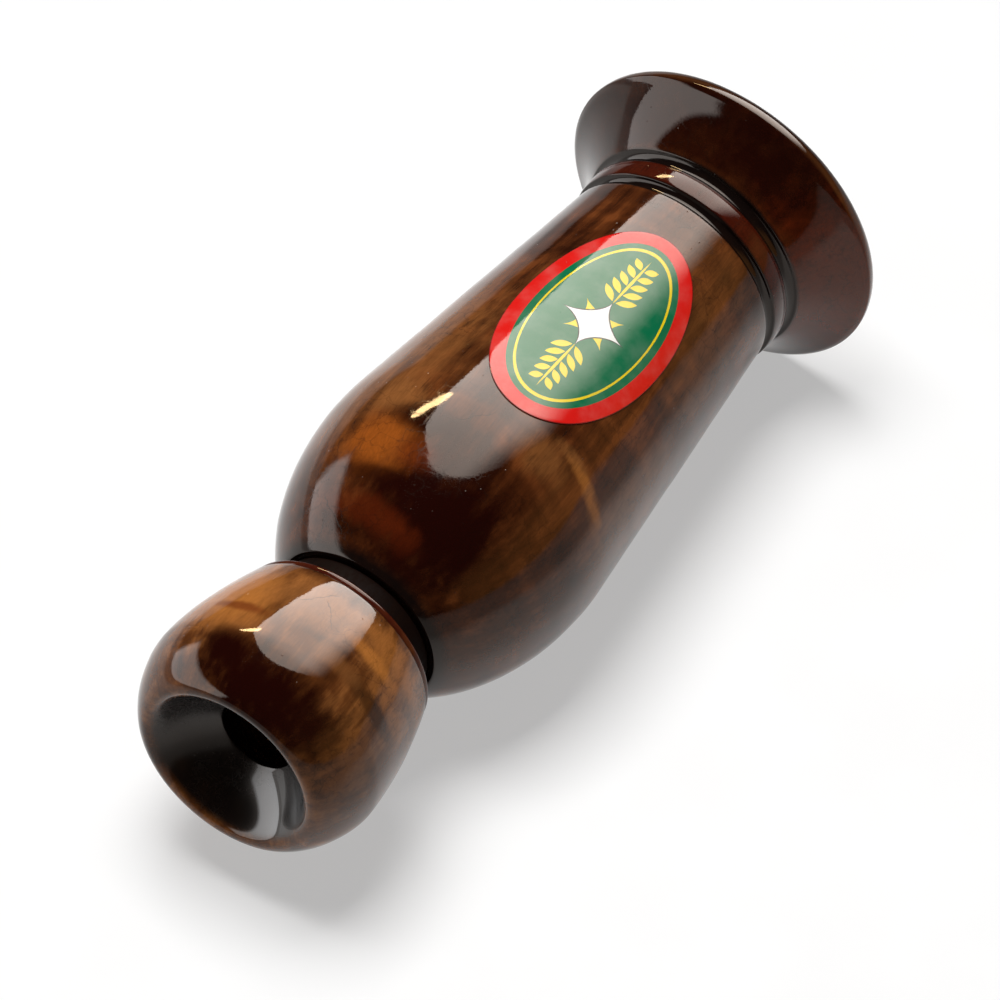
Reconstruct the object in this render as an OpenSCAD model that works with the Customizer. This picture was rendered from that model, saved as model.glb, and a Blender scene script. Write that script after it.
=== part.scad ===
// Fox call: a turned walnut mouthpiece that plugs into a turned walnut barrel with a bell,
// with a closed metal reed inside the mouthpiece.
// The call lies on its side. Its axis runs along X, with the mouthpiece at -X and the bell at +X.
// The origin is on the floor under the middle of the call. Sizes are in millimetres.
// Places along the axis are counted from the lip of the mouthpiece towards the bell.

/* [Mouthpiece] */
// Diameter of the lip around the dish
lip_diameter = 22.2; // [20:0.1:24]
// Largest diameter of the knob
knob_diameter = 31.8; // [29:0.1:35]
// Distance from the lip to the largest circle of the knob
knob_widest_at = 8.7; // [6:0.1:11]
// Length of the knob, from the lip to the bead behind it
knob_length = 22.6; // [20:0.1:26]
// Diameter of the knob's back edge
knob_back_diameter = 26.4; // [25:0.1:28]
// Width of the bead behind the knob
bead_width = 1.5; // [1:0.1:2.2]
// Diameter over the bead behind the knob
bead_diameter = 25.9; // [24:0.1:26.6]
// Depth of the dish in the front of the mouthpiece
dish_depth = 7; // [5:0.1:9]
// Diameter of the air hole through the mouthpiece
air_hole_diameter = 9.8; // [9:0.1:10.4]

/* [Neck] */
// Width of the groove between the mouthpiece and the barrel
neck_width = 3.4; // [2.6:0.1:5]
// Diameter of the groove's bottom
neck_diameter = 20.6; // [18:0.1:21.4]

/* [Tenon] */
// Length of the tenon inside the barrel
tenon_length = 20; // [17:0.5:26]
// Diameter of the socket that the tenon fits
socket_diameter = 16; // [15:0.1:17]
// Radial play of the tenon in its socket
tenon_clearance = 0.05; // [0.02:0.01:0.1]
// Gap between the neck's shoulder and the barrel's front face
seat_gap = 0.2; // [0.1:0.05:0.4]
// Gap between the reed collar and the end of the socket
socket_end_gap = 0.8; // [0.4:0.1:2]
// Thickness of a seal ring as it is squeezed in the socket
ring_thickness = 1.56; // [1.3:0.02:1.8]
// Radial play of a seal ring in its groove and in the socket
ring_clearance = 0.03; // [0.02:0.01:0.06]
// Play of a seal ring along the axis on each side
ring_side_play = 0.25; // [0.1:0.05:0.4]
// Distance from the barrel's front face to the middle of the front seal ring
front_ring_at = 5; // [3:0.5:6]
// Distance between the two seal rings
ring_spacing = 8; // [5:0.5:9]

/* [Barrel] */
// Length of the barrel with its bell
barrel_length = 80.5; // [76:0.5:95]
// Diameter of the barrel's front face
barrel_front_diameter = 22; // [21:0.1:25]
// Largest diameter of the barrel
barrel_diameter = 38.1; // [35:0.1:42]
// Length of the rounded shoulder, from the front face to the largest circle
shoulder_length = 21.4; // [18:0.1:26]
// Diameter at the thin end of the taper
taper_end_diameter = 28.6; // [26:0.1:31]

/* [Waist] */
// Width of each burnt groove
groove_width = 1.5; // [1:0.1:2]
// Depth of each burnt groove
groove_depth = 0.75; // [0.4:0.05:1.2]
// Width of the bead between the two grooves
waist_bead_width = 2.8; // [2:0.1:4]
// Diameter over the middle of that bead
waist_bead_diameter = 29.2; // [28:0.1:31.6]

/* [Bell] */
// Length of the bell, from the last groove to the rim's flat face
bell_length = 8.3; // [7:0.1:11]
// Diameter of the bell's foot beside the last groove
bell_foot_diameter = 29.8; // [28:0.1:32]
// Largest diameter of the bell
bell_diameter = 42.5; // [40:0.1:48]
// Length of the rounded rim behind the bell's largest circle
rim_length = 2.1; // [1.5:0.1:3]
// Rounding of the rim, across the radius
rim_rounding = 1.5; // [0.8:0.1:2]
// Diameter of the sound bore through the barrel
bore_diameter = 14.3; // [13:0.1:14.6]
// Diameter of the horn's mouth in the bell
horn_diameter = 33; // [30:0.1:35]
// Length of the horn that widens from the bore to the mouth
horn_length = 16; // [13:0.5:20]

/* [Reed] */
// Length of the collar inside the air hole
collar_length = 9; // [7:0.5:11]
// Wall of the collar
collar_wall = 0.8; // [0.6:0.05:1]
// Diameter of the collar's flange
flange_diameter = 13; // [11.5:0.1:15]
// Thickness of the collar's flange
flange_thickness = 1.2; // [0.8:0.1:1.6]
// Length of the trough from its tip to its open end
trough_length = 32; // [28:0.5:32.5]
// Wall of the trough
trough_wall = 0.75; // [0.5:0.05:1]
// Length of the wedge that clamps the tongue
wedge_length = 7; // [5:0.5:8]
// Thickness of the tongue
tongue_thickness = 0.25; // [0.15:0.05:0.35]
// Width of the tongue
tongue_width = 7.2; // [6.4:0.1:7.4]
// Length of the tongue that swings
tongue_free_length = 23; // [18:0.5:24]
// Length of the tongue that the wedge clamps
tongue_root_length = 3; // [2:0.5:4]
// Height of the tongue's curved tip above its root
tongue_tip_lift = 1; // [0.6:0.1:1.4]
// Play above and below the clamped root
tongue_clearance = 0.08; // [0.05:0.01:0.12]
// Radial play of the reed's fixed pieces
reed_clearance = 0.03; // [0.01:0.01:0.05]

/* [Label] */
// Length of the oval label along the barrel
label_length = 34.8; // [26:0.1:38]
// Width of the oval label around the barrel
label_width = 20.2; // [14:0.1:24]
// Distance from the barrel's largest circle to the middle of the label
label_middle_at = 21.5; // [20:0.1:23]
// Turn of the label from the top towards -Y
label_turn = 17; // [0:1:60]
// Thickness of the label
label_thickness = 0.12; // [0.08:0.02:0.2]
// Thickness of the glue under the label
glue_thickness = 0.03; // [0.02:0.01:0.05]

/* [Hidden] */
$fn = 128;

walnut = [0.34, 0.19, 0.09];
brass = [0.78, 0.62, 0.3];
cut_margin = 1;

// Steps along a curve, and the power of each free curve
curve_steps = 24;
groove_steps = 10;
lip_power = 1.6;
back_power = 1.7;

// Places along the axis, from the lip
bead_end = knob_length + bead_width;
barrel_start = bead_end + neck_width;
tenon_start = barrel_start - seat_gap;
tenon_end = barrel_start + tenon_length;
flange_start = tenon_end + reed_clearance;
flange_end = flange_start + flange_thickness;
socket_end = flange_end + socket_end_gap;
widest_at = barrel_start + shoulder_length;
call_length = barrel_start + barrel_length;
bell_start = call_length - bell_length;
rim_start = call_length - rim_length;
waist_width = 2 * groove_width + waist_bead_width;
taper_end = bell_start - waist_width;
horn_start = call_length - horn_length;

// Radii
lip_r = lip_diameter / 2;
knob_r = knob_diameter / 2;
knob_back_r = knob_back_diameter / 2;
bead_r = bead_diameter / 2;
air_hole_r = air_hole_diameter / 2;
neck_r = neck_diameter / 2;
socket_r = socket_diameter / 2;
tenon_r = socket_r - tenon_clearance;
barrel_front_r = barrel_front_diameter / 2;
barrel_r = barrel_diameter / 2;
taper_end_r = taper_end_diameter / 2;
waist_bead_r = waist_bead_diameter / 2;
bell_foot_r = bell_foot_diameter / 2;
bell_r = bell_diameter / 2;
bore_r = bore_diameter / 2;
horn_r = horn_diameter / 2;
flange_r = flange_diameter / 2;
axis_height = max(bell_r, barrel_r, knob_r);

// Seal rings: a round section between the groove's bottom and the socket's wall
ring_section_r = ring_thickness / 2;
ring_middle_r = socket_r - ring_clearance - ring_section_r;
ring_groove_r = ring_middle_r - ring_section_r - ring_clearance;
ring_groove_width = ring_thickness + 2 * ring_side_play;
front_ring = barrel_start + front_ring_at;
rear_ring = front_ring + ring_spacing;

// Reed: the tongue lies over the open side of the trough, a little above the axis
collar_r = air_hole_r - reed_clearance;
collar_bore_r = collar_r - collar_wall;
collar_start = tenon_end - collar_length;
trough_r = collar_bore_r - reed_clearance;
trough_bore_r = trough_r - trough_wall;
trough_end = tenon_end;
trough_start = trough_end - trough_length;
wedge_start = collar_start + reed_clearance;
wedge_end = wedge_start + wedge_length;
tongue_bottom = tongue_clearance;
wedge_bottom = tongue_bottom + tongue_thickness + tongue_clearance;
tongue_root_start = wedge_start;
tongue_root_end = tongue_root_start + tongue_root_length;
tongue_tip = tongue_root_start - tongue_free_length;

// Radius of the tapered barrel at a place along the axis
function taper_r(at) =
    taper_start_r + (taper_end_r - taper_start_r) * (at - taper_start) / (taper_end - taper_start);

// Points of a circular arc from p to q that leaves its chord by the angle bend.
// Seen along the way from p to q, a positive bend bows to the right, and a negative one to the left.
function arc_between(p, q, bend, steps = curve_steps) =
    let (chord = q - p, along = atan2(chord[1], chord[0]), first = along - bend)
    [for (i = [0 : steps])
        let (share = i / steps, reach = norm(chord) * sin(bend * share) / sin(bend))
        p + reach * [cos(first + bend * share), sin(first + bend * share)]];

// Quarter curve of the lip: from the lip's crest to the knob's largest circle
lip_curve = [for (i = [0 : curve_steps])
    let (turn = 90 * i / curve_steps)
    [lip_r + (knob_r - lip_r) * pow(sin(turn), 2 / lip_power),
     knob_widest_at * (1 - pow(cos(turn), 2 / lip_power))]];

// Back of the knob: from its largest circle to its back edge
back_curve = [for (i = [1 : curve_steps])
    let (share = i / curve_steps)
    [knob_r + (knob_back_r - knob_r) * pow(share, back_power),
     knob_widest_at + (knob_length - knob_widest_at) * share]];

// Bead behind the knob: half an ellipse that starts in a fine line below the knob's edge
bead_line_r = knob_back_r - (knob_back_r - neck_r) / 4;
bead_curve = [for (i = [0 : groove_steps])
    let (share = i / groove_steps, low = share < 0.5 ? bead_line_r : neck_r)
    [low + (bead_r - low) * sin(180 * share), knob_length + bead_width * (1 - cos(180 * share)) / 2]];

// Dish: a bowl that narrows from the lip to the air hole
dish_bend = 16;
dish_curve = arc_between([air_hole_r, dish_depth], [lip_r, 0], -dish_bend);

// Shoulder: an ellipse about the barrel's largest circle, from the front face to where the taper touches it
shoulder_reach = shoulder_length / sqrt(1 - pow(barrel_front_r / barrel_r, 2));
taper_squeezed = (taper_end - widest_at) * barrel_r / shoulder_reach;
front_angle = asin(barrel_front_r / barrel_r);
touch_angle = 180 - atan2(taper_end_r, taper_squeezed)
              - acos(barrel_r / norm([taper_squeezed, taper_end_r]));
taper_start = widest_at - shoulder_reach * cos(touch_angle);
taper_start_r = barrel_r * sin(touch_angle);
shoulder_curve = [for (i = [0 : curve_steps])
    let (turn = front_angle + (touch_angle - front_angle) * i / curve_steps)
    [barrel_r * sin(turn), widest_at - shoulder_reach * cos(turn)]];

// Groove cut: half an ellipse below a line from radius first to radius last
function groove_curve(start, first, last) = [for (i = [0 : groove_steps])
    let (share = (1 - cos(180 * i / groove_steps)) / 2)
    [first + (last - first) * share - groove_depth * sin(180 * i / groove_steps),
     start + groove_width * share]];

// Bead between the two grooves: a shallow arc
waist_bead_start = taper_end + groove_width;
waist_bead_end = waist_bead_start + waist_bead_width;
waist_edge_r = (taper_end_r + waist_bead_r) / 2;
waist_bend = 2 * atan((waist_bead_r - waist_edge_r) / (waist_bead_width / 2));
waist_curve = arc_between([waist_edge_r, waist_bead_start], [waist_edge_r, waist_bead_end], waist_bend,
                          groove_steps);

// Bell: a hollow flare, then a rounded rim
flare_bend = 13;
flare_end_r = bell_r - rim_rounding / 3;
flare_end = rim_start - rim_rounding / 3;
flare_curve = arc_between([bell_foot_r, bell_start], [flare_end_r, flare_end], -flare_bend);
rim_curve = [for (i = [1 : curve_steps])
    let (turn = 90 * i / curve_steps)
    [bell_r - rim_rounding * (1 - cos(turn)), rim_start + rim_length * sin(turn)]];

// Horn: from the bore to the bell's mouth
horn_bend = 16;
horn_curve = arc_between([horn_r, call_length], [bore_r, horn_start], horn_bend);

// Label: its middle lies on the taper
label_middle = widest_at + label_middle_at;
label_r = taper_r(label_middle);
label_steps = 72;

// A turned piece: an outline of radius and place along the axis, spun about the call's axis
module turned(outline) {
    on_axis() rotate([0, 90, 0]) rotate_extrude() polygon(outline);
}

// The call's axis, with X counted from the lip and Z up
module on_axis() {
    translate([-call_length / 2, 0, axis_height]) children();
}

module barrel() {
    color(walnut) turned(concat(
        [[socket_r, barrel_start]],
        shoulder_curve,
        groove_curve(taper_end, taper_end_r, waist_edge_r),
        waist_curve,
        groove_curve(waist_bead_end, waist_edge_r, bell_foot_r),
        flare_curve,
        [[bell_r, rim_start]],
        rim_curve,
        horn_curve,
        [[bore_r, socket_end], [socket_r, socket_end]]));
}

module mouthpiece() {
    color(walnut) difference() {
        turned(concat(
            dish_curve,
            lip_curve,
            back_curve,
            bead_curve,
            [[neck_r, tenon_start], [tenon_r, tenon_start], [tenon_r, tenon_end], [air_hole_r, tenon_end]]));
        for (at = [front_ring, rear_ring])
            ring_groove(at);
    }
}

// The cut for a seal ring with its middle at a place along the axis
module ring_groove(at) {
    first = at - ring_groove_width / 2;
    last = at + ring_groove_width / 2;
    outside = tenon_r + cut_margin;
    turned([[ring_groove_r, first], [outside, first], [outside, last], [ring_groove_r, last]]);
}

// A seal ring with its middle at a place along the axis
module seal_ring(at) {
    color([0.06, 0.06, 0.06]) on_axis() translate([at, 0, 0]) rotate([0, 90, 0])
        rotate_extrude() translate([ring_middle_r, 0]) circle(r = ring_section_r, $fn = 48);
}

module front_seal_ring() {
    seal_ring(front_ring);
}

module rear_seal_ring() {
    seal_ring(rear_ring);
}

// Brass collar: a sleeve in the air hole, with a flange on the tenon's end
module reed_collar() {
    color(brass) turned([
        [collar_bore_r, collar_start], [collar_r, collar_start], [collar_r, flange_start],
        [flange_r, flange_start], [flange_r, flange_end], [collar_bore_r, flange_end]]);
}

// The half of space on one side of a level plane, long enough for the reed
module half_space(level, above) {
    size = 2 * trough_length;
    on_axis() translate([trough_start - size / 4, -size / 2, above ? level : level - size])
        cube([size, size, size]);
}

// Brass trough: the lower half of a tube, closed at its tip
module reed_trough() {
    color(brass) intersection() {
        turned([[0, trough_start], [trough_r, trough_start], [trough_r, trough_end],
                [trough_bore_r, trough_end], [trough_bore_r, trough_start + trough_wall],
                [0, trough_start + trough_wall]]);
        half_space(0, false);
    }
}

// Wedge: the upper half of a rod, above the clamped root of the tongue
module reed_wedge() {
    color("burlywood") intersection() {
        turned([[0, wedge_start], [trough_r, wedge_start], [trough_r, wedge_end], [0, wedge_end]]);
        half_space(wedge_bottom, true);
    }
}

// Tongue: a thin strip, flat in the clamp and curved away from the trough towards its tip
module reed_tongue() {
    strip = [for (i = [0 : curve_steps])
        let (share = i / curve_steps)
        [tongue_root_start + (tongue_tip - tongue_root_start) * share,
         tongue_bottom + tongue_tip_lift * share * share]];
    under = concat([[tongue_root_end, tongue_bottom]], strip);
    over = [for (i = [len(under) - 1 : -1 : 0]) under[i] + [0, tongue_thickness]];
    color(brass) on_axis() rotate([90, 0, 0])
        linear_extrude(height = tongue_width, center = true) polygon(concat(under, over));
}

// Oval label: a thin skin on the taper, cut to an oval that is wrapped around the barrel
module label() {
    inner = glue_thickness;
    outer = glue_thickness + label_thickness;
    first = label_middle - label_length / 2 - cut_margin;
    last = label_middle + label_length / 2 + cut_margin;
    oval = [for (i = [0 : label_steps - 1])
        let (turn = 360 * i / label_steps, around = sin(turn) * label_width / 2)
        [cos(turn) * label_length / 2, label_r * sin(around / label_r * 180 / PI)]];
    color("green") intersection() {
        turned([[taper_r(first) + inner, first], [taper_r(first) + outer, first],
                [taper_r(last) + outer, last], [taper_r(last) + inner, last]]);
        on_axis() rotate([label_turn, 0, 0]) translate([label_middle, 0, 0])
            linear_extrude(height = barrel_r + cut_margin) polygon(oval);
    }
}

barrel();
label();
mouthpiece();
front_seal_ring();
rear_seal_ring();
reed_collar();
reed_trough();
reed_wedge();
reed_tongue();
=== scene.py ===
# %% [markdown]
# # A turned fox call
# The object is a small hunting call: a walnut barrel with a bell, a walnut mouthpiece that plugs into it,
# two rubber rings on the plug, a metal reed inside, and an oval printed label under the lacquer.
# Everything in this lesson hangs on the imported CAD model, so the first step is to load it.
# Its bodies carry the pieces, and its boxes give most of the sizes below.

# %% Load the frame
import math
import bpy
import numpy as np
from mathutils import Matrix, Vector


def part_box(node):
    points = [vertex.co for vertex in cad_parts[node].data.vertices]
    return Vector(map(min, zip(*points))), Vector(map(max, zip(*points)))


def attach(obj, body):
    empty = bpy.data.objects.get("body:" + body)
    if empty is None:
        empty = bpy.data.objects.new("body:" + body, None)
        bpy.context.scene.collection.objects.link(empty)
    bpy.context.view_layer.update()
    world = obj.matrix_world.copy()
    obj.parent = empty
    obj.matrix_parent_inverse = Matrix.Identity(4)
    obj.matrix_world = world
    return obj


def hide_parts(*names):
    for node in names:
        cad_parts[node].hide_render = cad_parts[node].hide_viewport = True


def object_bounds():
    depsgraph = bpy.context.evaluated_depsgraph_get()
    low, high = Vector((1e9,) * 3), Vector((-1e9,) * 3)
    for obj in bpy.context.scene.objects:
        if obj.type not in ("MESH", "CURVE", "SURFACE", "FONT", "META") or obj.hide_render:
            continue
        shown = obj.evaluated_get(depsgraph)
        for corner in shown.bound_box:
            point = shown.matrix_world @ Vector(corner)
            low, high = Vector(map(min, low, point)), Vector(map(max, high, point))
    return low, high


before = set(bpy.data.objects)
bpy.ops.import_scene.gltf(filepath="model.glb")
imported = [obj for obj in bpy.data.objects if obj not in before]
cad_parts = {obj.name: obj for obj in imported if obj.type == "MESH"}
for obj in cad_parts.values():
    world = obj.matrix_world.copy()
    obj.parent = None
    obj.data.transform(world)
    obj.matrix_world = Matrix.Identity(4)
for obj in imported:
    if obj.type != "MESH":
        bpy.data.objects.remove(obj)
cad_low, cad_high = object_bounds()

MM = 0.001

# %% [markdown]
# ## Measures from the frame
# A turned object is described by places along its axis and by radii. The places are counted in millimetres
# from the lip of the mouthpiece, and the boxes of the CAD nodes give the main ones.
# Reading them from the frame keeps this script in step with the CAD model.

# %% Measures from the frame
def node_box(node):
    """The box of a CAD node in millimetres: two places from the lip, then half its size along Y."""
    low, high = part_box(node)
    return (low.x - cad_low.x) / MM, (high.x - cad_low.x) / MM, (high.y - low.y) / 2 / MM


def lowest_height(node):
    """The height of a CAD node's lowest point over the axis, in millimetres."""
    return (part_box(node)[0].z - axis_z) / MM


lip_x = cad_low.x
axis_z = (cad_low.z + cad_high.z) / 2
barrel_start, call_length, bell_r = node_box("barrel")
_, tenon_end, knob_r = node_box("mouthpiece")
front_ring_first, front_ring_last, ring_outer_r = node_box("front_seal_ring")
rear_ring_first, rear_ring_last, _ = node_box("rear_seal_ring")
collar_start, flange_end, flange_r = node_box("reed_collar")
trough_start, trough_end, trough_r = node_box("reed_trough")
wedge_start, wedge_end, _ = node_box("reed_wedge")
tongue_tip, tongue_root_end, tongue_half_width = node_box("reed_tongue")
label_first, label_last, _ = node_box("label")
print("length %.1f, barrel from %.1f, tenon to %.1f mm" % (call_length, barrel_start, tenon_end))

# %% [markdown]
# ## Camera
# The photograph was taken from above the mouthpiece end, with a long lens and no roll.
# A camera can be turned with three angles, but it is easier to say where it stands:
# a direction from the object, a distance, and the point that it looks at. The lens follows from the framing.

# %% Camera
VIEW_AZIMUTH, VIEW_ELEVATION, VIEW_DISTANCE = -56.25, 48.57, 1.4747
VIEW_CENTRE_X, VIEW_CENTRE_Y = -0.0009, -0.0032
LENS, FAR_CLIP = 449, 20


def direction(azimuth, elevation):
    """A unit vector: azimuth 0 points to -Y and 90 to +X, and elevation is the angle above the floor."""
    a, e = math.radians(azimuth), math.radians(elevation)
    return Vector((math.sin(a) * math.cos(e), -math.cos(a) * math.cos(e), math.sin(e)))


view_direction = direction(VIEW_AZIMUTH, VIEW_ELEVATION)
camera_data = bpy.data.cameras.new("camera")
camera_data.lens = LENS
camera_data.clip_end = FAR_CLIP
camera = bpy.data.objects.new("camera", camera_data)
camera.location = Vector((VIEW_CENTRE_X, VIEW_CENTRE_Y, axis_z)) + view_direction * VIEW_DISTANCE
camera.rotation_euler = (-view_direction).to_track_quat("-Z", "Y").to_euler()
scene = bpy.context.scene
scene.collection.objects.link(camera)
scene.camera = camera
scene.view_settings.view_transform = "Standard"
print("camera at", [round(x, 3) for x in camera.location])

# %% [markdown]
# ## Shader helpers
# Every finish below is a small network of nodes. A few helpers keep that short: one adds a node and plugs in
# or sets its inputs, and one starts a node group with named inputs and outputs. Most nodes do sums,
# so an output is kept as a wire, and plus, minus, times and divide on a wire each add a node.
# A group is the right tool for an effect that more than one finish shares, such as grain or lacquer.

# %% Nodes and sums
class Wire:
    """A node's output. Plus, minus, times and divide add a node that does the sum,
    on vectors where the wire on the left carries a vector or a colour."""

    def __init__(self, socket):
        self.socket, self.tree = socket, socket.id_data

    def do(self, operation, *others, clamp=False):
        """The result of one sum on this wire and up to two more wires or constants."""
        if self.socket.type == "VALUE":
            inputs = dict(enumerate([self, *others]))
            return add(self.tree, "ShaderNodeMath", inputs, operation=operation, use_clamp=clamp)[0]
        spread = [(x, x, x) if isinstance(x, (int, float)) else x for x in others]
        made = add(self.tree, "ShaderNodeVectorMath", dict(enumerate([self, *spread])), operation=operation)
        return made["Value" if operation in ("LENGTH", "DOT_PRODUCT") else 0]

    def __add__(self, other):
        return self.do("ADD", other)

    def __sub__(self, other):
        return self.do("SUBTRACT", other)

    def __rsub__(self, other):
        return self.do("MULTIPLY_ADD", -1.0, other)

    def __mul__(self, other):
        return self.do("MULTIPLY", other)

    def __truediv__(self, other):
        return self.do("DIVIDE", other)

    def __abs__(self):
        return self.do("ABSOLUTE")


def plug(node, inputs):
    """Links or sets each input of a node that is named or numbered."""
    for name, value in dict(inputs).items():
        if isinstance(value, Wire):
            value.tree.links.new(value.socket, node.inputs[name])
        else:
            node.inputs[name].default_value = value


def wires(node):
    """The outputs of a node as wires, by number and by name."""
    return {key: Wire(socket) for k, socket in enumerate(node.outputs) for key in (k, socket.name)}


def add(tree, kind, inputs=(), **settings):
    """Adds a node, sets its properties, plugs in its inputs, and returns its outputs."""
    made = tree.nodes.new(kind)
    for name, value in settings.items():
        setattr(made, name, value)
    plug(made, inputs)
    return wires(made)


def parts_of(vector):
    """The X, Y and Z of a vector."""
    return add(vector.tree, "ShaderNodeSeparateXYZ", {0: vector})


def turned_flat(vector, angle, invert=False):
    """A vector turned about Z by an angle."""
    inputs = {"Vector": vector, "Angle": angle}
    return add(vector.tree, "ShaderNodeVectorRotate", inputs, rotation_type="Z_AXIS", invert=invert)[0]


def ease(value, start, end, low=0.0, high=1.0):
    """A value that passes smoothly from low at start to high at end."""
    inputs = {"Value": value, "From Min": start, "From Max": end, "To Min": low, "To Max": high}
    return add(value.tree, "ShaderNodeMapRange", inputs, interpolation_type="SMOOTHSTEP")[0]


print("nodes and sums ready")

# %% [markdown]
# A finish is mostly colours mixed by masks, and most masks come from noise that is stretched one way.
# A material could be built by hand each time, but then the same steps would be written over and over,
# so one helper starts it with coordinates in millimetres, and others place groups and bumps.

# %% Colours, noise and groups
def mix_colour(share, first, second):
    """Two colours mixed by a share from 0 to 1."""
    return add(share.tree, "ShaderNodeMix", {0: share, 6: first, 7: second}, data_type="RGBA")[2]


def stain(colour, mask, strength, tint):
    """A colour stained with a tint where the mask is 1, with the given strength."""
    return mix_colour(mask * strength, colour, tint)


def noise(point, per_mm, detail=2.0, roughness=0.5, output="Fac"):
    """Cloudy noise with a number of features per millimetre, or one each for X, Y and Z."""
    inputs = {"Vector": point * per_mm, "Scale": 1.0, "Detail": detail, "Roughness": roughness}
    return add(point.tree, "ShaderNodeTexNoise", inputs)[output]


def swayed(point, per_mm, detail, reach):
    """A point moved aside by noise, by up to half the reach along each axis."""
    return point + (noise(point, per_mm, detail, output="Color") - 0.5) * reach


SOCKETS = {"value": "NodeSocketFloat", "vector": "NodeSocketVector", "colour": "NodeSocketColor"}


def start_group(name, takes, gives):
    """Starts a shader node group. takes and gives map each socket's name to value, vector or colour."""
    tree = bpy.data.node_groups.new(name, "ShaderNodeTree")
    for way, sockets in (("INPUT", takes), ("OUTPUT", gives)):
        for label, kind in sockets.items():
            tree.interface.new_socket(label, in_out=way, socket_type=SOCKETS[kind])
    return tree, wires(tree.nodes.new("NodeGroupInput")), tree.nodes.new("NodeGroupOutput")


def use(group, point, **inputs):
    """Places a group at a point with its own values and returns its outputs. Underscores stand for spaces."""
    named = {name.replace("_", " "): value for name, value in inputs.items()}
    return add(point.tree, "ShaderNodeGroup", {0: point, **named}, node_tree=group)


def start_material(name):
    """Starts a material: itself, its Principled shader, and the object's own millimetres from the axis."""
    material = bpy.data.materials.new(name)
    material.use_nodes = True
    tree = material.node_tree
    where = add(tree, "ShaderNodeTexCoord")["Object"]
    centred = {"Vector": where, "Location": (-lip_x / MM, 0, -axis_z / MM), "Scale": (1 / MM, 1 / MM, 1 / MM)}
    return material, tree.nodes["Principled BSDF"], add(tree, "ShaderNodeMapping", centred)[0]


def bump(shader, height, distance):
    """Roughens a shader's normal by a height, which is counted in the given distance."""
    inputs = {"Height": height, "Distance": distance, "Strength": 1.0}
    plug(shader, {"Normal": add(height.tree, "ShaderNodeBump", inputs)[0]})


print("shader helpers ready")

# %% [markdown]
# ## Floor and world
# The floor is plain and pale: white around the call and a light grey further off, as under a studio lamp.
# It could be lit until it is white, but then the call would be lit too much.
# So nearly half of its white is light of its own, for camera, mirrored and transmitted rays only,
# and the rest is lit, which keeps the shadow. The pool of white lies square to the camera.

# %% Floor and world
POOL_MIDDLE, POOL_HALF, POOL_FADE = (-66.0, 20.0, 0.0), (126.0, 80.0, 1000.0), 48.0
FLOOR_WHITE, FLOOR_GREY, FLOOR_GLOW = (0.88, 0.89, 0.9, 1), (0.45, 0.445, 0.44, 1), 0.45
FLOOR_HALF_SIZE, FLOOR_MOTTLE, FLOOR_ROUGHNESS = 6.0, 0.03, 0.9
WHITE, BLACK = (1, 1, 1, 1), (0, 0, 0, 1)
DIM_ROOM = (0.04, 0.035, 0.03, 1)


def make_floor(half_size):
    """A flat square of that half size at the height of the lowest point of the call."""
    corners = np.array([[-1, -1, 0], [1, -1, 0], [1, 1, 0], [-1, 1, 0]]) * half_size
    mesh = bpy.data.meshes.new("floor")
    mesh.from_pydata(corners.tolist(), [], [(0, 1, 2, 3)])
    floor = bpy.data.objects.new("floor", mesh)
    scene.collection.objects.link(floor)
    return floor


floor_paint, shader, point = start_material("pale_floor")
tree = floor_paint.node_tree
mottle = ease(noise(point, 0.05, detail=3), 0.3, 0.7, 0.0, FLOOR_MOTTLE)
squared = turned_flat(point - (call_length / 2, 0, 0), math.radians(-VIEW_AZIMUTH))
past = (abs(squared - POOL_MIDDLE) - POOL_HALF).do("MAXIMUM", 0)
far_off = ease(past.do("LENGTH"), 0.0, POOL_FADE)
plug(shader, {"Base Color": mix_colour(far_off, mix_colour(mottle, FLOOR_WHITE, BLACK), FLOOR_GREY),
              "Roughness": FLOOR_ROUGHNESS, "Specular IOR Level": 0.0})
rays = add(tree, "ShaderNodeLightPath")
seen = rays["Is Camera Ray"].do("MAXIMUM", rays["Is Glossy Ray"])
seen = seen.do("ADD", rays["Is Transmission Ray"], clamp=True)
glow = add(tree, "ShaderNodeEmission", {"Color": mix_colour(far_off, WHITE, FLOOR_GREY), "Strength": 1.0})
both = add(tree, "ShaderNodeMixShader", {0: seen * FLOOR_GLOW, 1: wires(shader)[0], 2: glow[0]})
plug(tree.nodes["Material Output"], {"Surface": both[0]})
make_floor(FLOOR_HALF_SIZE).data.materials.append(floor_paint)

world = bpy.data.worlds.new("studio")
world.use_nodes = True
plug(world.node_tree.nodes["Background"], {"Color": DIM_ROOM})
scene.world = world
print("floor and world ready")

# %% [markdown]
# ## Lights
# A glossy dark object is drawn by what it mirrors, so most lights are placed by their reflections.
# In the photograph a tall window behind the call shows on the lip, the shoulder and the bell, a soft box
# to the right shows as a pale band along the top, and a small warm lamp leaves two glints.
# Area lights do this well: they show in reflections, they don't hide the object from any camera,
# and their size sets how soft the shadows are.
# The key light is for matte surfaces and the others are for mirrored rays, so each can be set by itself.

# %% Lights
LIGHT_DISTANCE = 1.5


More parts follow.
